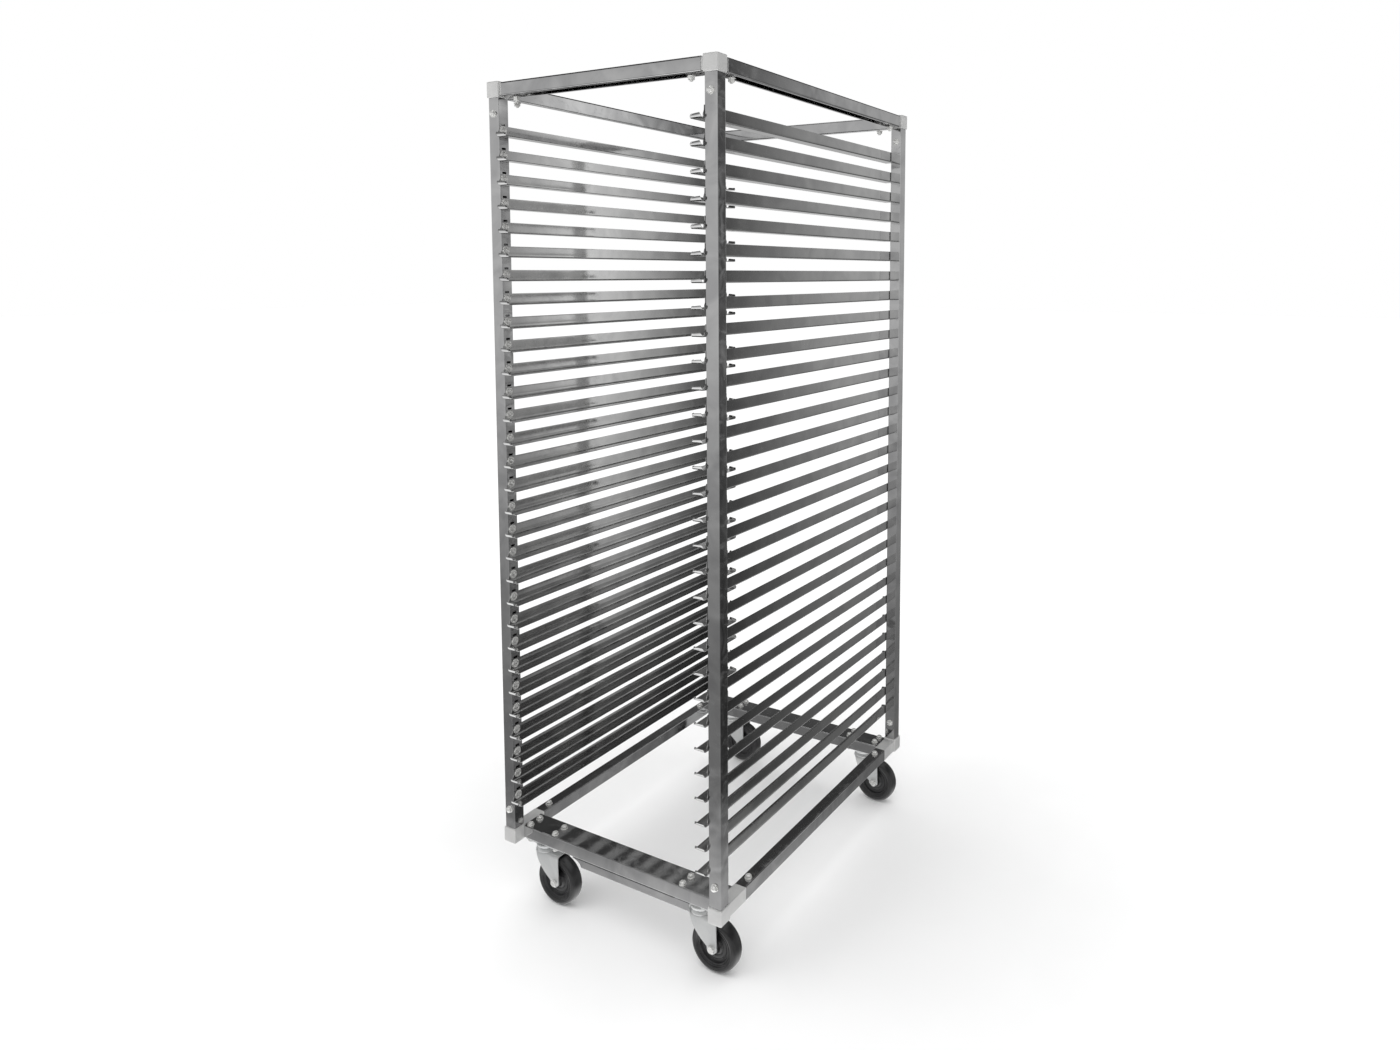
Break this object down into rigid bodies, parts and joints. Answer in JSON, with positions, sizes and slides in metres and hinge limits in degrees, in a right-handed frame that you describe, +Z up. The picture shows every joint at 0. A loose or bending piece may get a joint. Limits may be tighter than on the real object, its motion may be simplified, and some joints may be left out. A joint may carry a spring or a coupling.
{
  "type": "sheet pan rack",
  "caption": "Tall mobile rack with closely spaced angle ledges on both sides for sheet pans, bolted square-tube frame on four swivel casters.",
  "frame": {"origin": "floor level, under the middle of the rack's overall footprint with the casters at rest", "axes": "+X across the width to the right seen from the front, where all four casters trail; -Y the front face in the picture; +Z up"},
  "size_m": [0.5376, 0.776, 1.619],
  "materials": {
    "polished_tube": "mirror polished stainless steel",
    "polished_rail": "polished stainless sheet, folded",
    "satin_fitting": "satin stainless steel",
    "zinc_steel": "bright zinc plated pressed steel",
    "fastener": "bright plated steel",
    "wheel_core": "moulded black nylon",
    "tyre": "moulded black rubber"
  },
  "bodies": {
    "frame": {"post_fl": "polished_tube", "post_rl": "polished_tube", "post_fr": "polished_tube", "post_rr": "polished_tube", "top_beam_front": "polished_tube", "top_beam_rear": "polished_tube", "top_beam_left": "polished_tube", "top_beam_right": "polished_tube", "side_rail_left": "polished_tube", "side_rail_right": "polished_tube", "cross_tube_front": "polished_tube", "cross_tube_rear": "polished_tube", "stiffener_front": "polished_tube", "stiffener_rear": "polished_tube", "top_fitting_fl": "satin_fitting", "bottom_fitting_fl": "satin_fitting", "top_fitting_rl": "satin_fitting", "bottom_fitting_rl": "satin_fitting", "top_fitting_fr": "satin_fitting", "bottom_fitting_fr": "satin_fitting", "top_fitting_rr": "satin_fitting", "bottom_fitting_rr": "satin_fitting", "rails_left_1": "polished_rail", "rails_left_2": "polished_rail", "rails_left_3": "polished_rail", "rails_left_4": "polished_rail", "rails_left_5": "polished_rail", "rails_left_6": "polished_rail", "rails_right_1": "polished_rail", "rails_right_2": "polished_rail", "rails_right_3": "polished_rail", "rails_right_4": "polished_rail", "rails_right_5": "polished_rail", "rails_right_6": "polished_rail", "caster_mount_fl": "zinc_steel", "caster_mount_rl": "zinc_steel", "caster_mount_fr": "zinc_steel", "caster_mount_rr": "zinc_steel"},
    "swivel_fl": {"caster_fork_fl": "zinc_steel", "caster_axle_fl": "fastener"},
    "wheel_fl": {"wheel_core_fl": "wheel_core", "wheel_tyre_fl": "tyre"},
    "swivel_rl": {"caster_fork_rl": "zinc_steel", "caster_axle_rl": "fastener"},
    "wheel_rl": {"wheel_core_rl": "wheel_core", "wheel_tyre_rl": "tyre"},
    "swivel_fr": {"caster_fork_fr": "zinc_steel", "caster_axle_fr": "fastener"},
    "wheel_fr": {"wheel_core_fr": "wheel_core", "wheel_tyre_fr": "tyre"},
    "swivel_rr": {"caster_fork_rr": "zinc_steel", "caster_axle_rr": "fastener"},
    "wheel_rr": {"wheel_core_rr": "wheel_core", "wheel_tyre_rr": "tyre"}
  },
  "joints": [
    {"name": "swivel_fl", "type": "hinge", "parent": "frame", "child": "swivel_fl", "pos_m": [-0.19485, -0.3335, 0.104], "axis": [0, 0, 1], "continuous": true},
    {"name": "roll_fl", "type": "hinge", "parent": "swivel_fl", "child": "wheel_fl", "pos_m": [-0.16185, -0.3335, 0.0487], "axis": [0, 1, 0], "continuous": true},
    {"name": "swivel_rl", "type": "hinge", "parent": "frame", "child": "swivel_rl", "pos_m": [-0.19485, 0.3335, 0.104], "axis": [0, 0, 1], "continuous": true},
    {"name": "roll_rl", "type": "hinge", "parent": "swivel_rl", "child": "wheel_rl", "pos_m": [-0.16185, 0.3335, 0.0487], "axis": [0, 1, 0], "continuous": true},
    {"name": "swivel_fr", "type": "hinge", "parent": "frame", "child": "swivel_fr", "pos_m": [0.18715, -0.3335, 0.104], "axis": [0, 0, 1], "continuous": true},
    {"name": "roll_fr", "type": "hinge", "parent": "swivel_fr", "child": "wheel_fr", "pos_m": [0.22015, -0.3335, 0.0487], "axis": [0, 1, 0], "continuous": true},
    {"name": "swivel_rr", "type": "hinge", "parent": "frame", "child": "swivel_rr", "pos_m": [0.18715, 0.3335, 0.104], "axis": [0, 0, 1], "continuous": true},
    {"name": "roll_rr", "type": "hinge", "parent": "swivel_rr", "child": "wheel_rr", "pos_m": [0.22015, 0.3335, 0.0487], "axis": [0, 1, 0], "continuous": true}
  ]
}
